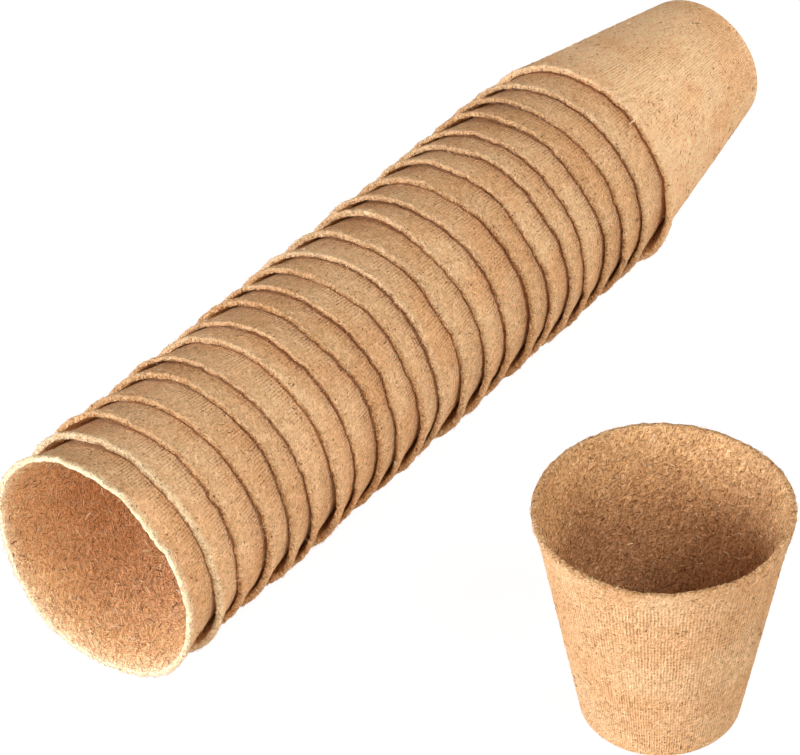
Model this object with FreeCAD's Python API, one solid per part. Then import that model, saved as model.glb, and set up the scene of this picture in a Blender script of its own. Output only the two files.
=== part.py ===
"""A pack of moulded peat pots: a lying stack of nested pots, and one pot that stands beside it.

Each pot is one moulded shell of peat and wood fibre: a tapered wall of even thickness, a lip that
bends outward, a rounded heel and a floor that is pushed up a little in the middle. A pot slides into
the one before it until the two tapered walls meet, so the wall's thickness sets how far its
neighbour's rim stands out. The walls differ a little from pot to pot, as pulp walls do.

Frame: millimetres, +Z up. The origin is on the ground, under the centre of the whole set. The stack
lies along X, with its open mouth at -X and the closed base of its outermost pot at +X.
"""

import FreeCAD, Part
import math
import os

V = FreeCAD.Vector

# Sizes of one pot
rim_radius = 40.0  # widest point of the lip
pot_height = 80.0  # ground to the top of the rim
base_radius = 24.8  # where the straight wall would meet the ground, without its heel
lip_height = 5.0  # the part of the height that bends outward
lip_reach = 1.5  # how far the lip's edge stands out from the top of the straight wall
wall_thickness = 1.8
floor_thickness = 2.0
heel_radius = 2.8  # outside corner between wall and floor
inner_heel_radius = 2.0  # inside corner between wall and floor
foot_ring_width = 6.0  # flat ring of the underside that meets the ground
floor_rise = 0.9  # the middle of the floor is pushed up by this much

# How the pots nest
nest_clearance = 0.3  # between the outside of a pot and the inside of the one that holds it

# Thickness of each nested pot's wall, as a share of wall_thickness, outermost pot first
wall_shares = (
    1.21, 0.96, 0.92, 0.97, 0.81, 0.98, 0.91, 1.19, 0.97, 1.12, 1.11, 0.89,
    1.04, 0.79, 1.07, 0.81, 1.18, 0.79, 1.10, 1.12, 1.05, 1.18, 1.00,
)

# Where the groups stand
axis_distance = 154.0  # from the stack's axis to the standing pot's axis, seen from above
standing_pot_inset = 87.6  # from the stack's open mouth to the standing pot's axis, along the stack


def unit(x, z):
    """The vector (x, z) of the profile plane, made one long."""
    length = math.hypot(x, z)
    return V(x / length, 0, z / length)


def wall_line():
    """The straight outer wall: its top point, its direction and its outward normal."""
    top = V(rim_radius - lip_reach, 0, pot_height - lip_height)
    along = unit(top.x - base_radius, top.z)
    outward = V(along.z, 0, -along.x)
    return top, along, outward


def taper_sine():
    """Sine of the wall's half angle: how much nearer two nested walls come per length pushed in."""
    return wall_line()[1].x


def arc_about(centre, start, end):
    """The shorter arc from start to end round centre."""
    radius = (start - centre).Length
    to_middle = (start - centre) + (end - centre)
    middle = centre + to_middle.normalize() * radius
    return Part.Arc(start, middle, end).toShape()


def corner_arc(corner, towards_floor, towards_wall, radius):
    """A fillet at a corner of the profile: its two tangent points and its centre."""
    half_turn = (math.pi - towards_floor.getAngle(towards_wall)) / 2
    reach = radius * math.tan(half_turn)
    on_floor = corner + towards_floor * reach
    on_wall = corner + towards_wall * reach
    bisector = (towards_floor + towards_wall).normalize()
    centre = corner + bisector * (radius / math.cos(half_turn))
    return on_floor, on_wall, centre


def lip_bend(thickness):
    """The lip bends outward on one circle: its centre, the wall's end points and the edge's centre."""
    top, along, outward = wall_line()
    middle_of_wall = top - outward * (thickness / 2)
    edge_centre = V(rim_radius - thickness / 2, 0, pot_height - thickness / 2)
    chord = edge_centre - middle_of_wall
    half_bend = along.getAngle(chord)
    radius = chord.Length / (2 * math.sin(half_bend))
    centre = middle_of_wall + outward * radius
    return centre, top, top - outward * thickness, edge_centre


def pot_profile(thickness):
    """Half section of a pot, closed along its axis, in the XZ plane."""
    top, along, outward = wall_line()
    inward = V(-1, 0, 0)

    # Outside: foot ring, heel and straight wall
    foot_outer, heel_top, heel_centre = corner_arc(V(base_radius, 0, 0), inward, along, heel_radius)
    foot_inner = foot_outer + inward * foot_ring_width
    under_middle = V(0, 0, floor_rise)

    # Lip: the wall bends outward and ends in a half round edge
    bend_centre, outer_neck, inner_neck, edge_centre = lip_bend(thickness)
    across = (bend_centre - edge_centre).normalize()
    outer_edge = edge_centre + across * (thickness / 2)
    inner_edge = edge_centre - across * (thickness / 2)
    edge_tip = edge_centre + V(-across.z, 0, across.x) * (thickness / 2)

    # Inside: straight wall, heel and pushed up floor
    rise_to_floor = (inner_neck.z - floor_thickness) / along.z
    inner_corner = inner_neck - along * rise_to_floor
    floor_outer, wall_foot, inner_centre = corner_arc(inner_corner, inward, along, inner_heel_radius)
    floor_ring = V(foot_inner.x, 0, floor_thickness)
    floor_middle = under_middle + V(0, 0, floor_thickness)

    def dish(ring, middle):
        """The shallow arc from a ring of the floor to its middle, level at the middle."""
        radius = (ring.x**2 + floor_rise**2) / (2 * floor_rise)
        return arc_about(middle - V(0, 0, radius), ring, middle)

    edges = [
        Part.LineSegment(foot_outer, foot_inner).toShape(),
        dish(foot_inner, under_middle),
        Part.LineSegment(under_middle, floor_middle).toShape(),
        dish(floor_ring, floor_middle),
        Part.LineSegment(floor_ring, floor_outer).toShape(),
        arc_about(inner_centre, floor_outer, wall_foot),
        Part.LineSegment(wall_foot, inner_neck).toShape(),
        arc_about(bend_centre, inner_neck, inner_edge),
        Part.Arc(inner_edge, edge_tip, outer_edge).toShape(),
        arc_about(bend_centre, outer_edge, outer_neck),
        Part.LineSegment(outer_neck, heel_top).toShape(),
        arc_about(heel_centre, heel_top, foot_outer),
    ]
    return Part.Face(Part.Wire(Part.__sortEdges__(edges)))


def pot(thickness):
    """One pot, standing on the ground with its axis on Z."""
    return pot_profile(thickness).revolve(V(0, 0, 0), V(0, 0, 1), 360)


def nest_pitches():
    """How far each nested pot's rim stands out beyond the rim of the pot that holds it."""
    return [(wall_thickness * share + nest_clearance) / taper_sine() for share in wall_shares[:-1]]


def stack_length():
    return pot_height + sum(nest_pitches())


def place_nested(index):
    """Placement of a nested pot: lying on its rim, mouth to -X, at its place in the stack."""
    base_x = stack_length() / 2 - sum(nest_pitches()[:index])
    mouth_to_minus_x = FreeCAD.Rotation(V(0, 1, 0), -90)
    return FreeCAD.Placement(V(base_x, axis_distance / 2, rim_radius), mouth_to_minus_x)


def place_standing():
    """Placement of the standing pot, in front of the stack."""
    x = standing_pot_inset - stack_length() / 2
    return FreeCAD.Placement(V(x, -axis_distance / 2, 0), FreeCAD.Rotation())


def nested_name(index):
    return f"nested_pot_{index + 1:02d}"


def build():
    """Every pot in its place, by name."""
    pots = {}
    for index, share in enumerate(wall_shares):
        shape = pot(wall_thickness * share)
        shape.Placement = place_nested(index)
        pots[nested_name(index)] = shape
    standing = pot(wall_thickness)
    standing.Placement = place_standing()
    pots["standing_pot"] = standing
    return pots


os.makedirs("parts", exist_ok=True)
for name, shape in build().items():
    shape.exportStep(f"parts/{name}.step")
    print(f"{name}: volume {shape.Volume / 1000:.1f} ml, valid {shape.isValid()}")
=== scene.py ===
# %% [markdown]
# # Moulded peat pots: a nested stack lying down, and one pot standing beside it
#
# A peat pot is a cup of moulded pulp. Peat and wood fibre in water are drawn onto a wire mesh, pressed
# and dried, so the outside keeps the print of the mesh, the inside stays felted, and the edge of the lip
# dries a little wavy and pale. This notebook dresses the measured model with those looks.
#
# The first cell loads the measured pots. They give every place and size, and nothing here moves them.

# %% Load the measured pots
import math

import bpy
import numpy as np
from mathutils import Matrix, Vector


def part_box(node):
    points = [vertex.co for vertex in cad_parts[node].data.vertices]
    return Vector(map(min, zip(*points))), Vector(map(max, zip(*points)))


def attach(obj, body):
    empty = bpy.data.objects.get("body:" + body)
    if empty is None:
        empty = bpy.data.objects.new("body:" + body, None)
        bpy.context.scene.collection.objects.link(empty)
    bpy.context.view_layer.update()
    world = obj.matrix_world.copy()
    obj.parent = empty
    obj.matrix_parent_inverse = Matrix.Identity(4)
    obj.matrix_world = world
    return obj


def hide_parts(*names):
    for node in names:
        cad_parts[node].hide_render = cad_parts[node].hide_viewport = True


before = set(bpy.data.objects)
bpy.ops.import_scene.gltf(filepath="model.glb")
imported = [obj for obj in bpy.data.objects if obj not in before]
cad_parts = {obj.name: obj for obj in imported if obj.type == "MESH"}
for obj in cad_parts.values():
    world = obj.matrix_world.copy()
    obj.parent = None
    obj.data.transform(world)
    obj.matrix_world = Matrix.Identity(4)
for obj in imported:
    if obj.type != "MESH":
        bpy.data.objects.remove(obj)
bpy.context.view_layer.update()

MM = 0.001  # sizes below are millimetres, and Blender works in metres
nested_names = sorted(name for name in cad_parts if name.startswith("nested_pot"))
standing_name = "standing_pot"
print(len(nested_names), "nested pots, and", standing_name)

# %% [markdown]
# ## The sizes that all pots share
#
# The pots come from one mould, so one set of sizes serves all of them. The rim's radius and the height
# are read from the measured pot. The rest are the mould's own sizes, and repeat what the measured model
# was made with. Only the wall's thickness differs from pot to pot. Two nested walls touch along
# their taper, so the distance between their bases tells how thick the outer one is.

# %% Sizes of the mould, and each pot's wall
low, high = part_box(standing_name)
RIM_RADIUS = (high.x - low.x) / 2 / MM
POT_HEIGHT = (high.z - low.z) / MM
BASE_RADIUS = 24.8  # where the straight wall would meet the ground
LIP_HEIGHT = 5.0
LIP_REACH = 1.5
WALL = 1.8
FLOOR = 2.0
HEEL = 2.8
INNER_HEEL = 2.0
FOOT_RING = 6.0
FLOOR_RISE = 0.9
NEST_CLEARANCE = 0.3

wall_top = np.array([RIM_RADIUS - LIP_REACH, POT_HEIGHT - LIP_HEIGHT])
along = (wall_top - [BASE_RADIUS, 0]) / np.linalg.norm(wall_top - [BASE_RADIUS, 0])
outward = np.array([along[1], -along[0]])

base_x = [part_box(name)[1].x / MM for name in nested_names]
walls = [(a - b) * along[0] - NEST_CLEARANCE for a, b in zip(base_x, base_x[1:])] + [WALL]
thickness = dict(zip(nested_names, walls))
thickness[standing_name] = WALL
print("walls from", round(min(walls), 2), "to", round(max(walls), 2), "mm")

# %% [markdown]
# ## Where each pot sits
#
# A pot is made standing on its own axis and then laid where it belongs. A small function for each way of
# lying turns a point of the pot into a point of the set. The nested pots lie with their mouths towards
# -X, and the axis of the last one stands on the ground.

# %% From a pot's own place to its place in the set
def stand(local, name):
    """Places points of a pot that stands on the ground."""
    low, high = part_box(name)
    middle = (low + high) / 2 / MM
    return local + [middle.x, middle.y, low.z / MM]


def lie(local, name):
    """Places points of a pot that lies on its rim, mouth to -X."""
    low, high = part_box(name)
    middle = (low + high) / 2 / MM
    x, y, z = local.T
    return np.stack([high.x / MM - z, middle.y + y, middle.z + x], 1)


def placed(local, name):
    """Places a pot's own points in the set, in metres."""
    return (stand if name == standing_name else lie)(local, name) * MM


print("the standing pot stands at", placed(np.zeros((1, 3)), standing_name)[0].round(4), "m")


# %% [markdown]
# ## The pot's section
#
# A turned shape needs only half a section. This one runs from the middle of the underside, round the
# heel, up the outside, over the lip's round edge and down the inside. Each stretch says how many rows of
# the mesh it gets: many on the lip, where the outline shows, and few on the long plain wall. The wall's
# rows crowd towards the lip, because the pulp's waviness lives there.

# %% Stretches of the section
def arc(centre, start, end, rows):
    """Points along the shorter arc from start to end, start left out."""
    first = math.atan2(*(start - centre)[::-1])
    last = math.atan2(*(end - centre)[::-1])
    turn = (last - first + math.pi) % (2 * math.pi) - math.pi
    angles = first + turn * np.arange(1, rows + 1) / rows
    return centre + np.linalg.norm(start - centre) * np.stack([np.cos(angles), np.sin(angles)], 1)


def straight(start, end, rows, crowd=1.0, crowd_at_end=True):
    """Points along a line, start left out, crowded towards one end."""
    share = np.arange(1, rows + 1) / rows
    share = 1 - (1 - share) ** crowd if crowd_at_end else share**crowd
    return start + (end - start) * share[:, None]


def corner(point, towards_a, towards_b, radius):
    """Where a fillet leaves the two lines of a corner, and its centre."""
    angle = math.acos(float(np.dot(towards_a, towards_b)))
    reach = radius / math.tan(angle / 2)
    middle = (towards_a + towards_b) / np.linalg.norm(towards_a + towards_b)
    centre = point + middle * radius / math.sin(angle / 2)
    return point + towards_a * reach, point + towards_b * reach, centre


def dish(ring, middle, rows):
    """The shallow arc from the floor's middle to its flat ring."""
    radius = (ring[0] ** 2 + FLOOR_RISE**2) / (2 * FLOOR_RISE)
    return arc(middle - [0, radius], middle, ring, rows)


quarter = arc(np.zeros(2), np.array([1.0, 0.0]), np.array([0.0, 1.0]), 4)
print("a quarter turn in", len(quarter), "steps ends at", quarter[-1].round(3))

# %% [markdown]
# The measured lips bend outward by 1.5 mm. In the photograph felt fills most of that bend, and the wall
# runs nearly straight to its edge. A second section could be drawn for that, but it is simpler to keep
# the measured one and to move the points of its lip: part of the bend is trimmed outside and most of it
# is filled inside, while the edge itself stays where it was measured.

# %% Taking up the lip's bend
NECK_START = 69.0  # height from which the wall thickens towards the edge
BEND_TRIM = 0.6  # share of the lip's bend that is taken off outside
BEND_FILL = 0.8  # and filled inside
ROUND_EDGE = 0.3  # of the wall, over which the edge is rounded towards the inside


def smooth(share):
    """0 to 1, leaving and arriving level."""
    share = np.clip(share, 0, 1)
    return share * share * (3 - 2 * share)


def run_from_crest(points, crest):
    """Length along the section from the crest, positive outside and negative inside."""
    steps = np.linalg.norm(np.diff(points, axis=0), axis=1)
    run = np.concatenate([[0.0], np.cumsum(steps)])
    return run[crest] - run


def on_line(start, heights):
    """Radius at the given heights of a line that runs through start along the wall."""
    return start[0] + (heights - start[1]) * along[0] / along[1]


def straighten_lip(points, crest, wall):
    """Takes up most of the lip's bend on both sides, as felt does, so that the wall runs to its edge."""
    height = points[:, 1]
    above = height > wall_top[1]
    outside = (np.arange(len(points)) <= crest) & above
    excess = points[:, 0] - on_line(wall_top, height)
    points[outside, 0] -= np.maximum(excess, 0)[outside] * BEND_TRIM

    excess = points[:, 0] - on_line(wall_top - outward * wall, height)
    share = BEND_FILL * smooth(-run_from_crest(points, crest) / (wall * ROUND_EDGE)) * above
    points[:, 0] -= np.maximum(excess, 0) * share

    # the wall thickens a little on its way to the edge
    start = wall_top - along * (wall_top[1] - NECK_START) / along[1]
    widest = points[: crest + 1][np.argmax(points[: crest + 1, 0])]
    way = (height - start[1]) / (widest[1] - start[1])
    line = start[0] + (widest[0] - start[0]) * way
    rows = (np.arange(len(points)) <= crest) & (way > 0) & (way < 1)
    points[rows, 0] = np.maximum(points[rows, 0], line[rows])
    return points


print("of the bend,", BEND_TRIM, "is trimmed outside and", BEND_FILL, "is filled inside")

# %% [markdown]
# Now the stretches are joined. Every row count is the same for all pots, so that a row always means the
# same part of a pot.

# %% The whole section
WALL_ROWS = 16
WALL_CROWD = 1.8


def section(wall):
    """Half section of a pot as points (radius, height), and the row of the lip's crest."""
    inward = np.array([-1.0, 0.0])
    foot_outer, heel_top, heel_centre = corner(np.array([BASE_RADIUS, 0.0]), inward, along, HEEL)
    foot_inner = foot_outer + inward * FOOT_RING
    under_middle = np.array([0.0, FLOOR_RISE])

    neck_middle = wall_top - outward * wall / 2
    edge_centre = np.array([RIM_RADIUS - wall / 2, POT_HEIGHT - wall / 2])
    chord = edge_centre - neck_middle
    half_bend = math.acos(float(np.dot(along, chord / np.linalg.norm(chord))))
    bend_centre = neck_middle + outward * np.linalg.norm(chord) / (2 * math.sin(half_bend))
    across = (bend_centre - edge_centre) / np.linalg.norm(bend_centre - edge_centre)
    outer_edge = edge_centre + across * wall / 2
    inner_edge = edge_centre - across * wall / 2
    tip = edge_centre + np.array([-across[1], across[0]]) * wall / 2

    inner_neck = wall_top - outward * wall
    inner_corner = inner_neck - along * (inner_neck[1] - FLOOR) / along[1]
    floor_outer, wall_foot, inner_centre = corner(inner_corner, inward, along, INNER_HEEL)
    floor_ring = np.array([foot_inner[0], FLOOR])
    floor_middle = under_middle + [0, FLOOR]

    outside = [
        dish(foot_inner, under_middle, 4),
        straight(foot_inner, foot_outer, 2),
        arc(heel_centre, foot_outer, heel_top, 6),
        straight(heel_top, wall_top, WALL_ROWS, WALL_CROWD),
        arc(bend_centre, wall_top, outer_edge, 6),
        arc(edge_centre, outer_edge, tip, 4),
    ]
    inside = [
        arc(edge_centre, tip, inner_edge, 4),
        arc(bend_centre, inner_edge, inner_neck, 6),
        straight(inner_neck, wall_foot, WALL_ROWS, WALL_CROWD, crowd_at_end=False),
        arc(inner_centre, wall_foot, floor_outer, 5),
        straight(floor_outer, floor_ring, 2),
        dish(floor_ring, floor_middle, 4)[::-1][1:],
    ]
    crest = sum(len(stretch) for stretch in outside) - 1
    points = straighten_lip(np.concatenate(outside + inside), crest, wall)
    return points, crest, under_middle, floor_middle


points, crest, _, _ = section(WALL)
print(len(points), "rows, crest at", points[crest].round(2))

# %% [markdown]
# ## Waviness from drying
#
# Pulp shrinks unevenly as it dries, so a lip rises and falls and stands off in places. A noise could
# push the mesh about, but a sum of cosines round the rim gives long waves, and closes on itself without a
# seam. Each pot draws its own from a numbered seed, so that every run gives the same pots. The waves fade
# out over the last 9.5 mm of the wall: below that it lies close inside its neighbour, and the two must
# not cut into each other. Where a lying lip meets the ground it rests, and doesn't wave.

# %% Waves and lumps
SHELL_SEED = 4127
FIBRE_SEED = 4627
TONE_SEED = 5027
FREE_HEIGHT = 9.5  # of the wall, below the lip's edge, that may wave
STAND_OFF = 0.5  # how far a lip stands off its moulded place on average
GAPING = (240, 42, 0.3)  # and more on the near side of the stack: angle, width and push
LEAST_STAND_OFF = -0.12  # a lip bends in no further than this
CALM = 0.45  # share of the waves on the standing pot, whose lip dried even
# orders round the rim, and size in millimetres
PUSH_WAVES = (range(1, 6), 0.36)
SLOW_LIFT = (range(2, 9), 0.42)
QUICK_LIFT = (range(9, 40), 0.18)
EDGE_SWELL = (range(9, 110), 0.05)
EDGE_TEAR = (range(30, 140), 0.17)
WALL_LUMPS = (60, 90, 0.055)  # how many, finest order, and size
LUMPS_BELOW = 0.5  # share of the lumps where the wall lies close inside its neighbour
TEAR_RUN = 1.6  # how far from the crest the edge is torn and felted
FLOOR_REACH = 34.0  # degrees round the lowest point of a lying rim where it stays on the ground
LEAST_DOWNWARD = 0.2  # a rim's points that look less downward than this keep off the ground anyway


def bell(away, width):
    """1 in the middle, falling smoothly to nothing at about twice the width."""
    return np.exp(-((away / width) ** 2))


def waves(random, theta, orders, size):
    """A smooth closed curve round the rim, about size high."""
    total = np.zeros_like(theta)
    for order in orders:
        total += random.normal() * np.cos(order * theta + random.uniform(0, 2 * math.pi)) / order**0.5
    return total * size


def lumps(random, theta, run, count, finest, size):
    """A field of soft lumps over the angle and the run along the section."""
    total = np.zeros((len(run), len(theta)))
    for _ in range(count):
        order = random.integers(8, finest)
        rate = random.uniform(-1, 1) * finest / RIM_RADIUS
        phase = random.uniform(0, 2 * math.pi)
        total += np.cos(order * theta[None, :] + rate * run[:, None] + phase)
    return total * size / count**0.5


print("waves of at least", min(PUSH_WAVES[0]), "and at most", max(EDGE_TEAR[0]), "to a turn")

# %% [markdown]
# Some lips have a mark of their own that the photograph shows: the innermost pot's lip is dented where it
# was pushed, and the outermost pot's lip stands off low on its near side. Each such mark is a place round
# the rim, a width, how far it pushes the lip out, and how far it lifts the edge.

# %% Marks that single lips carry
# angle and width in degrees (0 is up on a lying pot, 90 towards +Y), push and lift in millimetres
LIP_MARKS = {
    "nested_pot_23": [
        (318, 13, -3.6, -0.6), (329, 4, -1.1, -0.5), (337, 5, 1.5, 0.6), (352, 14, 1.1, 0.3),
        (10, 20, 0.6, 0.4), (92, 38, -1.2, 0.0),
    ],
    "nested_pot_22": [(20, 30, 0.9, 0.4), (240, 28, 0.5, 0.0)],
    "nested_pot_01": [(252, 24, 1.7, -0.2), (284, 4, -0.3, -0.9), (236, 9, 0.5, 0.8)],
}


def marks(name, theta):
    """Push and lift of a lip's own marks, round the rim."""
    push, lift = np.zeros_like(theta), np.zeros_like(theta)
    for angle, width, out, up in LIP_MARKS.get(name, []):
        away = (np.degrees(theta) - angle + 180) % 360 - 180
        push += out * bell(away, width)
        lift += up * bell(away, width)
    return push, lift


print(sum(len(own) for own in LIP_MARKS.values()), "marks on", len(LIP_MARKS), "lips")


# %% [markdown]
# ## The shell's mesh
#
# The shell is a closed grid: columns round the axis, rows along the section, and a fan of triangles at
# each end of the section. It carries two UV maps. `skin` holds the share of a turn and the run from the
# crest in millimetres, outside positive, and the materials read it. The second one spreads the same grid
# over the unit square, for baking. Attributes carry what differs from pot to pot: its place among the
# patterns, how pale its edge dried, how light its batch is, with painted light on the outermost pot and
# painted shade on the standing one, and how light its inside is, which is painted light in the two open
# insides and painted shade in the covered ones.

# %% Grid of the shell
COLUMNS = 360
POT_SPACING = 1000.0  # from pot to pot in the space of the patterns, so that no two are alike
BAKING_MARGIN = 0.002
PALE_EDGES = {"nested_pot_23": 0.9, "nested_pot_22": 0.75, "standing_pot": 0.05}
PLAIN_EDGES = (0.05, 0.4)  # the rest draw theirs from here
PAINTED_LIGHT_INSIDES = {"nested_pot_23": 1.37, "standing_pot": 1.14}  # painted light that brightens the two open insides
# painted shade that darkens the insides that the next pot covers
PAINTED_SHADE_INSIDE = 0.9
# painted light on the outermost pot and painted shade on the standing pot; the other pots' tones differ at
# random
PAINTED_LIGHT_AND_SHADE_TONES = {"nested_pot_01": 1.28, "standing_pot": 0.95}
PLAIN_TONES = (0.98, 1.08)


def drying_and_painted_light(name, number):
    """How pale a pot's edge dried, 0 to 1, how light the pot is, about 1, with painted light on the
    outermost pot and painted shade on the standing one, and how light its inside is, about 1, which is
    painted light in the open insides and painted shade in the covered ones.
    """
    random = np.random.default_rng(TONE_SEED + number)
    paleness = PALE_EDGES.get(name, random.uniform(*PLAIN_EDGES))
    tone = PAINTED_LIGHT_AND_SHADE_TONES.get(name, random.uniform(*PLAIN_TONES))
    return paleness, tone, PAINTED_LIGHT_INSIDES.get(name, PAINTED_SHADE_INSIDE)


def wavy_shell(name, number):
    """Rows by columns of local points of one pot, and the runs of its rows."""
    points, crest, under_middle, floor_middle = section(thickness[name])
    random = np.random.default_rng(SHELL_SEED + number)
    theta = np.arange(COLUMNS) * 2 * math.pi / COLUMNS
    run = run_from_crest(points, crest)

    wave = CALM if name == standing_name else 1.0
    push = np.maximum(waves(random, theta, *PUSH_WAVES) * wave + STAND_OFF, LEAST_STAND_OFF)
    lift = (waves(random, theta, *SLOW_LIFT) + waves(random, theta, *QUICK_LIFT)) * wave
    own_push, own_lift = marks(name, theta)
    push = push + own_push
    if name != standing_name:
        angle, width, size = GAPING
        push += size * bell(np.degrees(theta) - angle, width)
        resting = bell(np.degrees(theta) - 180, FLOOR_REACH)
        push = push * (1 - resting) + (RIM_RADIUS - points[:, 0].max()) * resting
    free = smooth((points[:, 1] - (POT_HEIGHT - FREE_HEIGHT)) / FREE_HEIGHT)[:, None]
    crest_band = bell(run, TEAR_RUN)[:, None]

    tangent = np.gradient(points, axis=0)
    tangent /= np.linalg.norm(tangent, axis=1)[:, None]
    normal = np.stack([tangent[:, 1], -tangent[:, 0]], 1)
    swell = lumps(random, theta, run, *WALL_LUMPS) * (LUMPS_BELOW + free)
    swell += waves(random, theta, *EDGE_SWELL) * crest_band * wave
    tear = waves(random, theta, *EDGE_TEAR) * crest_band * wave

    radius = points[:, 0, None] + push * free + normal[:, 0, None] * swell
    height = points[:, 1, None] + (lift + own_lift) * free + tear + normal[:, 1, None] * swell
    flat = points[:, 1] <= 0
    height[flat] = 0
    if name != standing_name:
        towards_ground = np.maximum(-np.cos(theta), LEAST_DOWNWARD)
        radius = np.minimum(radius, RIM_RADIUS / towards_ground)
    return theta, radius, height, run, (under_middle, floor_middle)


print("rows and columns of a shell:", wavy_shell(standing_name, len(nested_names))[1].shape)


# %% From the grid to a mesh
def grid_faces(rows, columns):
    """Quads of a grid that closes round its columns."""
    row, column = np.meshgrid(np.arange(rows - 1), np.arange(columns), indexing="ij")
    following = (column + 1) % columns
    return np.stack(
        [row * columns + column, row * columns + following,
         (row + 1) * columns + following, (row + 1) * columns + column], -1
    ).reshape(-1, 4)


def shell_mesh(name, number):
    """The mesh of one pot's shell, in its place."""
    theta, radius, height, run, ends = wavy_shell(name, number)
    rows = len(run)
    local = np.stack([radius * np.cos(theta), radius * np.sin(theta), height], -1).reshape(-1, 3)
    local = np.concatenate([local, [[0, 0, ends[0][1]], [0, 0, ends[1][1]]]])

    quads = grid_faces(rows, COLUMNS)
    column = np.arange(COLUMNS)
    following = (column + 1) % COLUMNS
    last_row = (rows - 1) * COLUMNS
    under = np.stack([np.full(COLUMNS, rows * COLUMNS), following, column], 1)
    floor = np.stack([np.full(COLUMNS, rows * COLUMNS + 1), last_row + column, last_row + following], 1)

    mesh = bpy.data.meshes.new(name + "_shell")
    mesh.from_pydata(placed(local, name).tolist(), [], quads.tolist() + under.tolist() + floor.tolist())
    mesh.polygons.foreach_set("use_smooth", [True] * len(mesh.polygons))

    # corners of the quads, then of the two fans, as places on the grid
    turn = np.stack([column, column + 1, column + 1, column], 1) / COLUMNS
    turns = [np.tile(turn, (rows - 1, 1)).ravel(),
             np.stack([column + 0.5, column + 1, column], 1).ravel() / COLUMNS,
             np.stack([column + 0.5, column, column + 1], 1).ravel() / COLUMNS]
    steps = np.arange(rows)
    quad_rows = np.repeat(np.stack([steps[:-1], steps[:-1], steps[1:], steps[1:]], 1), COLUMNS, 0)
    fan = np.tile([0, 1, 1], (COLUMNS, 1))
    middle_run = {0: run[0] + radius[0].mean(), rows - 1: run[-1] - radius[-1].mean()}
    runs = [run[quad_rows].ravel(),
            np.where(fan == 0, middle_run[0], run[0]).ravel(),
            np.where(fan == 0, middle_run[rows - 1], run[-1]).ravel()]
    turns, runs = np.concatenate(turns), np.concatenate(runs)

    skin = mesh.uv_layers.new(name="skin")
    skin.uv.foreach_set("vector", np.stack([turns, runs], 1).astype(np.float32).ravel())
    span = runs.max() - runs.min()
    square = np.stack([turns, (runs.max() - runs) / span], 1) * (1 - 2 * BAKING_MARGIN) + BAKING_MARGIN
    baking = mesh.uv_layers.new(name="OFBake")
    baking.uv.foreach_set("vector", square.astype(np.float32).ravel())

    mesh.attributes.new("pot_place", "FLOAT_VECTOR", "POINT")
    own = local + [0, 0, POT_SPACING * number]
    mesh.attributes["pot_place"].data.foreach_set("vector", own.astype(np.float32).ravel())
    for key, value in zip(("edge_paleness", "batch_tone", "inside_tone"), drying_and_painted_light(name, number)):
        mesh.attributes.new(key, "FLOAT", "POINT")
        mesh.attributes[key].data.foreach_set("value", np.full(len(local), value, np.float32))
    mesh.validate()
    return mesh


print(len(grid_faces(len(points), COLUMNS)), "quads in a shell")

# %% [markdown]
# ## Loose fibres
#
# Short bits of straw and root lie on the felt and stand off the torn edge, where they catch the light.
# Each is a thin three-sided tube of two lengths with a slight bend. Those on the edge mostly cross it,
# the way the felt was torn, and those on the walls lie flat in any direction. Only the walls that can be
# seen carry them. Hair particles could do this too, but plain tubes keep their shape in an export. All
# fibres of one pot make one mesh. One lip also holds a longer pale straw, which crosses the gap in front.

# %% Places for fibres on a shell
def skin_grid(shell, name):
    """Places and normals of a shell's grid as rows by columns, and the runs of its rows."""
    points, crest, _, _ = section(thickness[name])
    count = len(shell.vertices)
    co, normals = np.zeros(count * 3, np.float32), np.zeros(count * 3, np.float32)
    shell.vertices.foreach_get("co", co)
    shell.vertex_normals.foreach_get("vector", normals)
    shape = (len(points), COLUMNS, 3)
    co, normals = (a[: len(points) * COLUMNS * 3].reshape(shape) for a in (co / MM, normals))
    return co, normals, run_from_crest(points, crest)


def scatter(random, grid, between, count):
    """Places and normals spread evenly over the part of the skin whose run lies between two values."""
    co, normals, run = grid
    rows = np.nonzero((run[:-1] <= between[1]) & (run[1:] >= between[0]))[0]
    across = np.linalg.norm(co[rows, 0] - co[rows, COLUMNS // 2], axis=1)
    area = (run[rows] - run[rows + 1]) * across
    row = random.choice(rows, count, p=area / area.sum())
    column = random.integers(0, COLUMNS, count)
    along_row, along_column = random.random(count)[:, None], random.random(count)[:, None]

    def blend(field):
        near = field[row, column] * (1 - along_row) + field[row, (column + 1) % COLUMNS] * along_row
        far = field[row + 1, column] * (1 - along_row) + field[row + 1, (column + 1) % COLUMNS] * along_row
        return near * (1 - along_column) + far * along_column

    return blend(co), blend(normals)


# %% Fibres as tubes
FIBRE_SIDES = 3
FIBRE_RINGS = ((0.0, 0.0, 1.0), (0.5, 0.7, 0.9), (1.0, 0.6, 0.6))  # along, lifted, thickness


def tubes(roots, normals, ways, lengths, radii, lifts):
    """Bent tubes, as one array of points and one of faces, by fibre."""
    sideways = np.cross(ways, normals)
    rings = []
    for along_it, up, thick in FIBRE_RINGS:
        centre = roots + ways * (lengths * along_it)[:, None] + normals * (lifts * up)[:, None]
        for side in range(FIBRE_SIDES):
            angle = side * 2 * math.pi / FIBRE_SIDES
            off = sideways * math.cos(angle) + normals * math.sin(angle)
            rings.append(centre + off * (radii * thick)[:, None])
    faces = []
    for ring in (0, FIBRE_SIDES):
        for side in range(FIBRE_SIDES):
            following, next_ring = (side + 1) % FIBRE_SIDES, ring + FIBRE_SIDES
            faces.append([ring + side, ring + following, next_ring + following, next_ring + side])
    return np.stack(rings, 1), faces


print(FIBRE_SIDES * len(FIBRE_RINGS), "points to a fibre")


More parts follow.
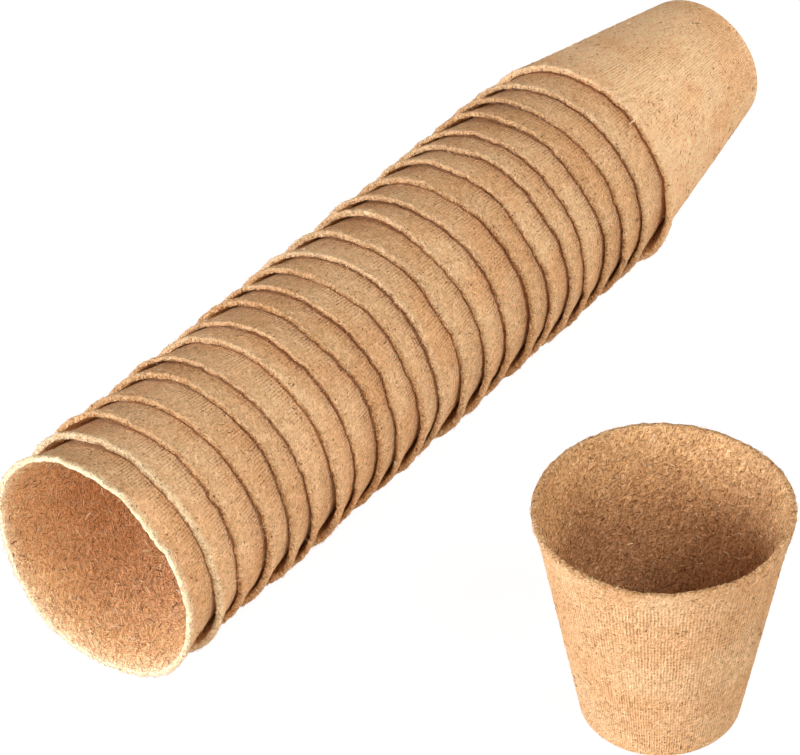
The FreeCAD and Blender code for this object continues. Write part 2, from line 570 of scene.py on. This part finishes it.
# %% Fibres on one pot
# between which runs they lie, how many, how strongly they turn towards the mouth, then the least and
# most of their length, radius and bend in millimetres, and how pale they are
EDGE_FIBRES = ((-1.6, 1.6), 230, 1.2, (0.7, 2.0), (0.06, 0.09), (0.1, 0.5), 0.5)
BAND_FIBRES = ((1.6, 15.0), 130, 0.0, (0.6, 2.4), (0.06, 0.13), (0.0, 0.12), 0.0)
WALL_FIBRES = ((1.6, 76.0), 1500, 0.0, (0.6, 2.4), (0.06, 0.13), (0.0, 0.12), 0.0)
FELT_FIBRES = {
    "nested_pot_23": ((-96.0, -4.0), 5500, 0.0, (1.0, 3.2), (0.08, 0.19), (0.05, 0.25), 0.25),
    "standing_pot": ((-96.0, -4.0), 2800, 0.0, (0.7, 2.2), (0.08, 0.19), (0.05, 0.25), 0.0),
}
TONE_SPREAD = 0.3
GROUND_REACH = 2.5  # no fibre starts nearer to the ground than this

# single straws: angle in degrees, then length, radius and bend in millimetres
STRAWS = {"nested_pot_01": [(320, 5.2, 0.34, 0.15)]}
STRAW_ROWS = 4  # of the grid, from the straw's root to the crest
STRAW_ABOVE = 0.4  # the root stands this far above the wall
STRAW_SLOPE = (1.0, 0.35)  # towards the mouth, and down into the gap


def flat_on(normals, wishes):
    """Directions wished for, turned flat onto the skin."""
    ways = wishes - normals * (wishes * normals).sum(1)[:, None]
    return ways / np.linalg.norm(ways, axis=1)[:, None]


def fibres_mesh(name, number, shell):
    """A mesh of loose fibres on a pot's skin, each with its own tone."""
    random = np.random.default_rng(FIBRE_SEED + number)
    grid = skin_grid(shell, name)
    mouth = np.array([0.0, 0.0, 1.0]) if name == standing_name else np.array([-1.0, 0.0, 0.0])
    whole_wall_shows = name in (standing_name, nested_names[0])
    groups = [EDGE_FIBRES, WALL_FIBRES if whole_wall_shows else BAND_FIBRES]
    if name in FELT_FIBRES:
        groups.append(FELT_FIBRES[name])

    parts, tones = [], []
    for between, count, crossing, lengths, radii, lifts, paler in groups:
        roots, normals = scatter(random, grid, between, count)
        ways = flat_on(normals, random.normal(size=(count, 3)) + mouth * crossing)
        tone = np.clip(random.normal((1 + paler) / 2, TONE_SPREAD, count), 0, 1)
        lengths, radii, lifts = (random.uniform(*pair, count) for pair in (lengths, radii, lifts))
        high = roots[:, 2] > GROUND_REACH if name != standing_name else np.full(count, True)
        made, faces = tubes(roots, normals, ways, lengths, radii, lifts)
        parts.append(made[high])
        tones.append(tone[high])
    for angle, length, radius, bend in STRAWS.get(name, []):
        row, column = section(thickness[name])[1] - STRAW_ROWS, round(angle / 360 * COLUMNS)
        root, normal = grid[0][row, column][None], grid[1][row, column][None]
        flat = flat_on(normal, mouth[None])
        way = (flat * STRAW_SLOPE[0] - normal * STRAW_SLOPE[1]) / math.hypot(*STRAW_SLOPE)
        upright = (flat * STRAW_SLOPE[1] + normal * STRAW_SLOPE[0]) / math.hypot(*STRAW_SLOPE)
        single = [np.array([v]) for v in (length, radius, bend)]
        parts.append(tubes(root + normal * STRAW_ABOVE, upright, way, *single)[0])
        tones.append(np.array([1.0]))
    verts, tones = np.concatenate(parts), np.concatenate(tones)
    per_fibre = verts.shape[1]
    faces = (np.arange(len(verts))[:, None, None] * per_fibre + np.array(faces)[None]).reshape(-1, 4)
    last = per_fibre - FIBRE_SIDES
    caps = np.concatenate([
        np.arange(len(verts))[:, None] * per_fibre + [2, 1, 0],
        np.arange(len(verts))[:, None] * per_fibre + [last, last + 1, last + 2],
    ])
    mesh = bpy.data.meshes.new(name + "_fibres")
    mesh.from_pydata((verts.reshape(-1, 3) * MM).tolist(), [], faces.tolist() + caps.tolist())
    mesh.attributes.new("fibre_tone", "FLOAT", "POINT")
    each = np.repeat(tones, per_fibre).astype(np.float32)
    mesh.attributes["fibre_tone"].data.foreach_set("value", each)
    mesh.validate()
    return mesh


print(sum(felt[1] for felt in FELT_FIBRES.values()), "fibres in the felt of", len(FELT_FIBRES), "pots")

# %% [markdown]
# ## Sums on sockets
#
# A material is a network of nodes, and most of it is sums. A small class wraps an output socket, so that
# a sum in Python adds the Math node that does it. One method of the network adds every kind of node.

# %% Sockets that can be added and multiplied
class Wire:
    """An output of a node, for use in sums."""

    def __init__(self, net, node, output=0):
        self.net = net
        self.node = node
        self.output = output

    def other(self, output):
        """Another output of the same node."""
        return Wire(self.net, self.node, output)

    def sum_of(self, operation, first, second=0.0):
        return self.net.add("ShaderNodeMath", {"operation": operation}, {0: first, 1: second})

    def __add__(self, other):
        return self.sum_of("ADD", self, other)

    def __sub__(self, other):
        return self.sum_of("SUBTRACT", self, other)

    def __rsub__(self, other):
        return self.sum_of("SUBTRACT", other, self)

    def __mul__(self, other):
        return self.sum_of("MULTIPLY", self, other)

    def least(self, other):
        return self.sum_of("MINIMUM", self, other)

    def most(self, other):
        return self.sum_of("MAXIMUM", self, other)

    def cosine(self):
        return self.sum_of("COSINE", self)

    def size(self):
        return self.sum_of("ABSOLUTE", self)

    __radd__ = __add__
    __rmul__ = __mul__


class Net:
    """The nodes of one material, or of the world."""

    def __init__(self, owner):
        owner.use_nodes = True
        self.tree = owner.node_tree
        self.tree.nodes.clear()

    def add(self, kind, settings, inputs, output=0):
        """Adds a node: its settings first, then the values or wires of its sockets."""
        node = self.tree.nodes.new(kind)
        for key, value in settings.items():
            setattr(node, key, value)
        for key, value in inputs.items():
            if isinstance(value, Wire):
                self.tree.links.new(value.node.outputs[value.output], node.inputs[key])
            else:
                node.inputs[key].default_value = value
        return Wire(self, node, output)

    def attribute(self, name, output):
        """A value that the mesh carries."""
        return self.add("ShaderNodeAttribute", {"attribute_name": name}, {}, output)


# %% [markdown]
# ## Clouds and strands
#
# Two patterns make the pulp, and both are noises that are read in the pot's own space, in millimetres.
# A space has no seam, so neither has the pulp. The first pattern is a plain cloud. For the second, the
# space is turned and then stretched along one direction before the noise is read, so that its blobs
# become strands. Where a wall lies along them they show as fibres, and where it cuts across them, as dots.

# %% Clouds, strands and ramps
def ramp(value, start, end):
    """0 at start, 1 at end, smooth between."""
    return value.net.add(
        "ShaderNodeMapRange", {"interpolation_type": "SMOOTHSTEP"},
        {"Value": value, "From Min": start, "From Max": end},
    )


def cloud(place, size, detail=2.0, roughness=0.5):
    """A noise about 0.5, with clouds about size millimetres wide."""
    return place.net.add(
        "ShaderNodeTexNoise", {"noise_dimensions": "3D"},
        {"Vector": place, "Scale": 1 / size, "Detail": detail, "Roughness": roughness},
    )


def strands(place, tilt, swing, length, width):
    """A noise about 0.5 of strands that run at tilt and swing degrees, sizes in millimetres."""
    rotation = (0.0, math.radians(tilt), math.radians(swing))
    turned = place.net.add(
        "ShaderNodeMapping", {"vector_type": "TEXTURE"},
        {"Vector": place, "Rotation": rotation, "Scale": (length, width, width)},
    )
    return cloud(turned, 1.0, 1.0)


def tinted(share, below, above):
    """Mix of two colours by a share."""
    return share.net.add(
        "ShaderNodeMix", {"data_type": "RGBA"}, {0: share, 6: below, 7: above}, output=2
    )


# how much faster than red the green and the blue fall off in a hollow between fibres
GREEN_DEPTH = 1.25
BLUE_DEPTH = 1.55


def shaded(colour, factor):
    """A colour made lighter or darker by a factor, and warmer where it is darker."""
    green, blue = factor * GREEN_DEPTH + (1 - GREEN_DEPTH), factor * BLUE_DEPTH + (1 - BLUE_DEPTH)
    grey = factor.net.add("ShaderNodeCombineColor", {}, {0: factor, 1: green, 2: blue})
    return factor.net.add(
        "ShaderNodeMix", {"data_type": "RGBA", "blend_type": "MULTIPLY"},
        {0: 1.0, 6: colour, 7: grey}, output=2,
    )


# %% [markdown]
# ## Dried pulp
#
# One material serves every pot, because they are one batch. It asks two things of the surface: how far
# it is from the crest, which tells outside, edge and inside apart, and where it is on the pot. Outside
# is light tan with the print of the mesh. Inside is redder and felted, and darker deeper down, which is
# painted shade. The edge is pale, more on some pots than on others, and where it is not pale its crest
# is darkened by painted shade.

# %% Colours of the pulp
def linear(red, green, blue):
    """A colour written as 0 to 255 on screen, in the linear numbers that a shader takes."""
    parts = [c / 255 for c in (red, green, blue)]
    return tuple(c / 12.92 if c <= 0.04045 else ((c + 0.055) / 1.055) ** 2.4 for c in parts) + (1.0,)


OUTSIDE = linear(236, 190, 142)
OUTSIDE_WARM = linear(229, 176, 126)
INSIDE = linear(234, 180, 124)
# a darker inside colour, for broad clouds and for painted shade deeper down
INSIDE_CLOUD_AND_DEEP_SHADE = linear(198, 144, 98)
EDGE = linear(244, 214, 170)
DARK_BIT = linear(92, 46, 22)
PALE_STRAW = linear(248, 222, 180)
print("the outside in linear numbers:", [round(part, 3) for part in OUTSIDE[:3]])

# %% [markdown]
# The print of the mesh is a fine grid: columns that run down the wall, and weaker rows round it. Each is
# a cosine. The count of columns round the pot is a whole number, so that the cosine closes on itself. A
# cloud added to each angle bends the lines a little, and a broad cloud makes the print faint in places.

# %% Print of the mesh
PRINT_COLUMNS = 218  # round the pot
PRINT_ROW = 1.45  # millimetres from row to row down the wall
PRINT_FOOT = 0.95  # millimetres from line to line under the foot
COLUMN_SHARE = 0.7  # of the print, and the rest is rows
HEEL_RUN = (76.0, 80.0)  # over which the wall's print gives way to the foot's, from the crest down
PLAIN_LIP = (3.0, 10.0)  # the print fades in over this run below the crest
COLUMN_BEND = (4.0, 4.0)  # size in millimetres of the clouds that bend the lines, and bend in radians
ROW_BEND = (2.6, 5.0)
FAINT_CLOUD = 13.0
FAINT_RANGE = (0.32, 0.60)
LEAST_PRINT = 0.5  # share of the print that stays where it is faint


def mesh_print(turn, run, place):
    """The grid, -1 to 1, on the outside of the wall and under the foot."""
    bend = (cloud(place, COLUMN_BEND[0]) - 0.5) * COLUMN_BEND[1]
    column = turn * (2 * math.pi * PRINT_COLUMNS) + bend
    row = run * (2 * math.pi / PRINT_ROW) + (cloud(place, ROW_BEND[0]) - 0.5) * ROW_BEND[1]
    apart = place.net.add("ShaderNodeSeparateXYZ", {}, {0: place})
    foot_x = apart.other("X") * (2 * math.pi / PRINT_FOOT) + bend
    foot_y = apart.other("Y") * (2 * math.pi / PRINT_FOOT) + bend
    foot = ramp(run, *HEEL_RUN)
    on_wall = column.cosine() * COLUMN_SHARE + row.cosine() * (1 - COLUMN_SHARE)
    on_foot = (foot_x.cosine() + foot_y.cosine()) * 0.5
    shown = ramp(cloud(place, FAINT_CLOUD), *FAINT_RANGE) * (1 - LEAST_PRINT) + LEAST_PRINT
    return (on_wall * ramp(run, *PLAIN_LIP) * (1 - foot) + on_foot * foot) * shown


print("a column every", round(2 * math.pi * RIM_RADIUS / PRINT_COLUMNS, 2), "mm round the rim")


# %% [markdown]
# Six sets of strands cross each other in the felt. The brightest of the six at a point is the fibre on
# top, and the darkest is the hollow between fibres.

# %% Felt
STRANDS = [(10, 15), (62, 40), (35, 78), (80, 100), (25, 130), (55, 165)]  # tilt and swing, degrees
STRAND_LENGTH = 6.0
STRAND_WIDTH = 0.8
ON_TOP = (0.60, 0.74)  # over these values of the noise the fibres appear
HOLLOW = (0.40, 0.27)  # and over these the hollows
LONG_BITS = (20, 60, 4.5, 0.6)  # tilt, swing, length and width of the bits of bark
LONG_SHOWN = (0.70, 0.74)  # and over which values of their noise they appear
CROSS_BITS = (70, 140, 4.0, 0.55)
CROSS_SHOWN = (0.71, 0.75)
SPECK = 1.1
SPECK_SHOWN = (0.78, 0.81)


def felt_of(place):
    """Fibres on top and hollows between, each 0 to 1."""
    fields = [strands(place, tilt, swing, STRAND_LENGTH, STRAND_WIDTH) for tilt, swing in STRANDS]
    top, bottom = fields[0], fields[0]
    for field in fields[1:]:
        top, bottom = top.most(field), bottom.least(field)
    return ramp(top, *ON_TOP), ramp(bottom, *HOLLOW)


def dark_bits(place):
    """Bits of bark and root: short strands of which only the strongest show."""
    long_bits = ramp(strands(place, *LONG_BITS), *LONG_SHOWN)
    cross_bits = ramp(strands(place, *CROSS_BITS), *CROSS_SHOWN)
    specks = ramp(cloud(place, SPECK, 0.0), *SPECK_SHOWN)
    return (long_bits + cross_bits + specks).least(1.0)


print(len(STRANDS), "sets of strands,", STRAND_LENGTH, "by", STRAND_WIDTH, "mm")


# %% [markdown]
# The patterns now have to be weighed against each other. Some make the pulp lighter or darker, some
# raise or lower it, and most do both, because a fibre on top catches light and a hollow holds shade.
# Where outside, edge and inside meet, a cloud frays the border, as the torn felt does.

# %% How strongly each pattern shows
# clouds: size in millimetres, detail and roughness
BROAD_CLOUD = (20.0,)
LUMP_CLOUD = (8.0,)
PATCH_CLOUD = (2.6, 3.0, 0.6)
GRAIN_CLOUD = (0.6, 2.0, 0.75)
BROAD_RANGE = (0.35, 0.68)  # over these values of the noise the outside turns warmer
BROAD_INSIDE = 0.3  # share of the broad cloud that deepens the inside

# borders, as runs from the crest in millimetres
FRAY = (1.4, 2.2)  # size of the clouds, and how far they move a border
INSIDE_BORDER = (-0.3, 1.8)
# over which painted shade darkens the inside deeper down
DEEP_SHADE_BORDER = (-6.0, -45.0)
PALE_EDGE = (0.5, 1.0, 3.2)  # its middle, and from where to where it fades on both sides
PALE_LINING = (1.0, 10.0)
LINING_FRAY = 1.5  # the pale lining frays more than the other borders
# a band round the crest, where painted shade darkens pots whose edge is not pale
CREST_SHADE_BAND = (0.3, 0.8, 2.4)

# shares of the pulp's lightness
GRAIN_TONE = 1.10
PATCH_TONE = 0.42
PRINT_TONE = 0.20
FIBRE_TONE = 0.55
HOLLOW_TONE = 0.325
# how much painted shade darkens the crest of pots whose edge is not pale
CREST_PAINTED_SHADE = 0.16
DARK_SHARE = 0.72
LINING_SHARE = 0.5
FELT_OUTSIDE = 0.45  # how much of the felt shows outside

# relief in millimetres
PRINT_RELIEF = 0.16
FELT_RELIEF = 0.16
GRAIN_RELIEF = 0.34
PATCH_RELIEF = 0.36
LUMP_RELIEF = 0.35

# the dry surface, and the tones over which fibres turn from dark to tan and from tan to pale
PULP_ROUGHNESS = 0.95
PULP_SHINE = 0.05
FIBRE_ROUGHNESS = 0.9
DARK_TO_TAN = (0.0, 0.5)
TAN_TO_PALE = (0.6, 1.0)


# %% The pulp's material
def pulp_material():
    """Outside with the mesh's print, felted inside and pale edge, told apart by the run from the crest."""
    material = bpy.data.materials.new("dried_pulp")
    net = Net(material)
    skin = net.add("ShaderNodeUVMap", {"uv_map": "skin"}, {})
    place = net.attribute("pot_place", "Vector")
    paleness = net.attribute("edge_paleness", "Fac")
    # the pot's tone, with painted light on the outermost pot and painted shade on the standing one
    batch_and_painted_light = net.attribute("batch_tone", "Fac")
    # the inside's tone: painted light in the open insides and painted shade in the covered ones
    lining = net.attribute("inside_tone", "Fac")
    split = net.add("ShaderNodeSeparateXYZ", {}, {0: skin})
    turn, run = split.other("X"), split.other("Y")

    # where the surface is: inside, deep inside where painted shade darkens it, on the pale edge or near
    # it, and on the crest that painted shade darkens
    frayed = (cloud(place, FRAY[0], 3.0) - 0.5) * FRAY[1]
    inside = ramp(frayed - run, *INSIDE_BORDER)
    # painted shade, darker deeper down the inside
    deep_shade = ramp(run, *DEEP_SHADE_BORDER)
    edge = (1 - ramp((run + PALE_EDGE[0] + frayed).size(), *PALE_EDGE[1:])) * paleness
    near_edge = (1 - ramp(frayed * LINING_FRAY - run, *PALE_LINING)) * inside * paleness
    # painted shade on the crest, on pots whose edge is not pale
    crest_band = (1 - ramp((run + CREST_SHADE_BAND[0]).size(), *CREST_SHADE_BAND[1:])) * (1 - paleness)

    beads = mesh_print(turn, run, place) * (1 - inside)
    top, hollow = felt_of(place)
    dark = dark_bits(place)
    broad = ramp(cloud(place, *BROAD_CLOUD), *BROAD_RANGE)
    patchy = cloud(place, *PATCH_CLOUD)
    grain = cloud(place, *GRAIN_CLOUD)

    outside_colour = tinted(broad, OUTSIDE, OUTSIDE_WARM)
    inside_colour = tinted((deep_shade + broad * BROAD_INSIDE).least(1.0), INSIDE, INSIDE_CLOUD_AND_DEEP_SHADE)
    inside_colour = tinted(near_edge * LINING_SHARE, inside_colour, EDGE)
    colour = tinted(edge, tinted(inside, outside_colour, inside_colour), EDGE)
    felt_share = FELT_OUTSIDE + inside * (1 - FELT_OUTSIDE)
    # the tone holds painted light and shade: the outermost and standing pots' tones, the crest and the
    # insides
    tone = batch_and_painted_light - crest_band * CREST_PAINTED_SHADE + inside * (lining - 1.0)
    tone = tone + (grain - 0.5) * GRAIN_TONE + (patchy - 0.5) * PATCH_TONE + beads * PRINT_TONE
    tone = tone + (top * FIBRE_TONE - hollow * HOLLOW_TONE) * felt_share
    colour = tinted(dark * DARK_SHARE, shaded(colour, tone), DARK_BIT)

    relief = beads * PRINT_RELIEF + (top - hollow) * (inside + 1.0) * FELT_RELIEF
    relief = relief + grain * GRAIN_RELIEF + patchy * PATCH_RELIEF
    relief = relief + cloud(place, *LUMP_CLOUD) * LUMP_RELIEF
    bump = net.add("ShaderNodeBump", {}, {"Strength": 1.0, "Distance": MM, "Height": relief})
    shader = net.add(
        "ShaderNodeBsdfPrincipled", {},
        {"Base Color": colour, "Roughness": PULP_ROUGHNESS,
         "Specular IOR Level": PULP_SHINE, "Normal": bump},
    )
    net.add("ShaderNodeOutputMaterial", {}, {"Surface": shader})
    return material


# %% The loose fibres' material
def fibre_material():
    """Dark, tan or pale, by each fibre's own tone."""
    material = bpy.data.materials.new("loose_fibre")
    net = Net(material)
    tone = net.attribute("fibre_tone", "Fac")
    colour = tinted(ramp(tone, *DARK_TO_TAN), DARK_BIT, OUTSIDE_WARM)
    colour = tinted(ramp(tone, *TAN_TO_PALE), colour, PALE_STRAW)
    shader = net.add(
        "ShaderNodeBsdfPrincipled", {}, {"Base Color": colour, "Roughness": FIBRE_ROUGHNESS}
    )
    net.add("ShaderNodeOutputMaterial", {}, {"Surface": shader})
    return material


pulp = pulp_material()
loose_fibre = fibre_material()
for made in (pulp, loose_fibre):
    print(made.name, "has", len(made.node_tree.nodes), "nodes")

# %% [markdown]
# ## Dressing every pot
#
# Each dressed shell stands for one measured pot and rides on its body, so that it follows when that pot
# is drawn out of the stack. Its fibres ride with it.

# %% Make the pots
def as_object(name, mesh, material):
    mesh.materials.append(material)
    made = bpy.data.objects.new(name, mesh)
    bpy.context.scene.collection.objects.link(made)
    return made


for number, name in enumerate(nested_names + [standing_name]):
    shell = as_object(name + "_shell", shell_mesh(name, number), pulp)
    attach(shell, name)
    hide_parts(name)
    fuzz = as_object(name + "_fibres", fibres_mesh(name, number, shell.data), loose_fibre)
    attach(fuzz, name)
print("dressed", len(nested_names) + 1, "pots")

# %% [markdown]
# ## Floor, light and camera
#
# The set lies on a white table in soft light. The floor looks white to the camera and keeps a faint
# shadow: its material mixes plain white with a surface that the lamps light. A brighter lamp would whiten
# the floor as well, but it would bleach the pots too, so only rays that reach the eye see the white.

# %% Floor and surroundings
FLOOR_SIZE = 8.0
FLOOR_DROP = 0.0002  # keeps the floor clear of the feet
SHADOW_SHARE = 0.12
PLAIN_WHITE = (1.0, 1.0, 1.0, 1.0)
TABLE_WHITE = (0.95, 0.95, 0.95, 1.0)
TABLE_GLOW = 1.06
AMBIENT = 0.08
WARM_WHITE = (1.0, 0.93, 0.84)
COOL_WHITE = (0.95, 1.02, 1.14)
WHITE = (1.0, 1.0, 1.0)


def seen_by_eye(net):
    """1 where the camera looks, straight or by a mirror or through glass, and 0 for other light."""
    path = net.add("ShaderNodeLightPath", {}, {})
    return (path + path.other("Is Glossy Ray") + path.other("Is Transmission Ray")).least(1.0)


def white_floor():
    mesh = bpy.data.meshes.new("floor")
    half = FLOOR_SIZE / 2
    corners = [(-half, -half, 0), (half, -half, 0), (half, half, 0), (-half, half, 0)]
    mesh.from_pydata(corners, [], [(0, 1, 2, 3)])
    material = bpy.data.materials.new("white_table")
    net = Net(material)
    seen = seen_by_eye(net)
    lit = net.add("ShaderNodeBsdfDiffuse", {}, {"Color": TABLE_WHITE})
    white = net.add("ShaderNodeEmission", {}, {"Color": PLAIN_WHITE, "Strength": TABLE_GLOW})
    mixed = net.add(
        "ShaderNodeMixShader", {}, {0: seen * (1 - SHADOW_SHARE), 1: lit, 2: white}
    )
    net.add("ShaderNodeOutputMaterial", {}, {"Surface": mixed})
    floor = as_object("floor", mesh, material)
    floor.location.z = -FLOOR_DROP


def surroundings():
    world = bpy.data.worlds.new("studio")
    bpy.context.scene.world = world
    net = Net(world)
    seen = seen_by_eye(net)
    strength = seen * (1 - AMBIENT) + AMBIENT
    shade = tinted(seen, (*WARM_WHITE, 1), PLAIN_WHITE)
    light = net.add("ShaderNodeBackground", {}, {"Color": shade, "Strength": strength})
    net.add("ShaderNodeOutputWorld", {}, {"Surface": light})


white_floor()
surroundings()
print("a floor", FLOOR_SIZE, "m wide, and a surrounding light of", AMBIENT)


# %% Lamps
def towards(azimuth, elevation):
    """Direction from the set: 0 degrees is the front, 90 the right, and elevation counts up from level."""
    a, e = math.radians(azimuth), math.radians(elevation)
    return np.array([math.sin(a) * math.cos(e), -math.cos(a) * math.cos(e), math.sin(e)])


LAMP_DISTANCE = 1.8
LAMP_SIZE = 0.8


def lamp(name, azimuth, elevation, power, colour):
    """A square soft lamp that looks at the set, placed as a camera would be."""
    data = bpy.data.lights.new(name, "AREA")
    data.shape = "SQUARE"
    data.size = LAMP_SIZE
    data.energy = power
    data.color = colour
    made = bpy.data.objects.new(name, data)
    bpy.context.scene.collection.objects.link(made)
    made.location = towards(azimuth, elevation) * LAMP_DISTANCE
    made.rotation_mode = "QUATERNION"
    made.rotation_quaternion = (-made.location).to_track_quat("-Z", "Y")


# azimuth and elevation in degrees, power in watts, and colour
LAMPS = {
    "key": (-115, 12, 26.5, COOL_WHITE),
    "front": (-80, 30, 12, WHITE),
    "top": (-10, 50, 17, WHITE),
    "far": (70, 30, 10, WARM_WHITE),
}
for name, settings in LAMPS.items():
    lamp(name, *settings)
print(len(LAMPS), "lamps,", sum(settings[2] for settings in LAMPS.values()), "watts")

# %% [markdown]
# The camera stands where the photograph's camera stood. Its place comes from the outlines of the two
# groups: it looks down at 39 degrees from the front left, through a long lens.

# %% Camera
CAMERA_PLACE = (-0.8945, -0.6164, 0.9141)
CAMERA_AZIMUTH = -51.856
CAMERA_ELEVATION = 38.764
CAMERA_ROLL = -1.827
PICTURE_WIDTH = 800
FOCAL_PIXELS = 4270.5
SENSOR = 36.0
FARTHEST = 20.0


def photograph_camera():
    back = towards(CAMERA_AZIMUTH, CAMERA_ELEVATION)
    right = towards(CAMERA_AZIMUTH + 90, 0)
    roll = math.radians(CAMERA_ROLL)
    up = np.cross(back, right)
    turned_right = right * math.cos(roll) + up * math.sin(roll)
    turned_up = up * math.cos(roll) - right * math.sin(roll)
    data = bpy.data.cameras.new("camera")
    data.sensor_width = SENSOR
    data.lens = FOCAL_PIXELS * SENSOR / PICTURE_WIDTH
    data.clip_end = FARTHEST
    made = bpy.data.objects.new("camera", data)
    bpy.context.scene.collection.objects.link(made)
    made.matrix_world = Matrix(
        [[turned_right[i], turned_up[i], back[i], CAMERA_PLACE[i]] for i in range(3)] + [[0, 0, 0, 1]]
    )
    bpy.context.scene.camera = made


photograph_camera()
bpy.context.scene.view_settings.view_transform = "Standard"
print("camera at", CAMERA_PLACE, "with a lens of", round(FOCAL_PIXELS * SENSOR / PICTURE_WIDTH), "mm")
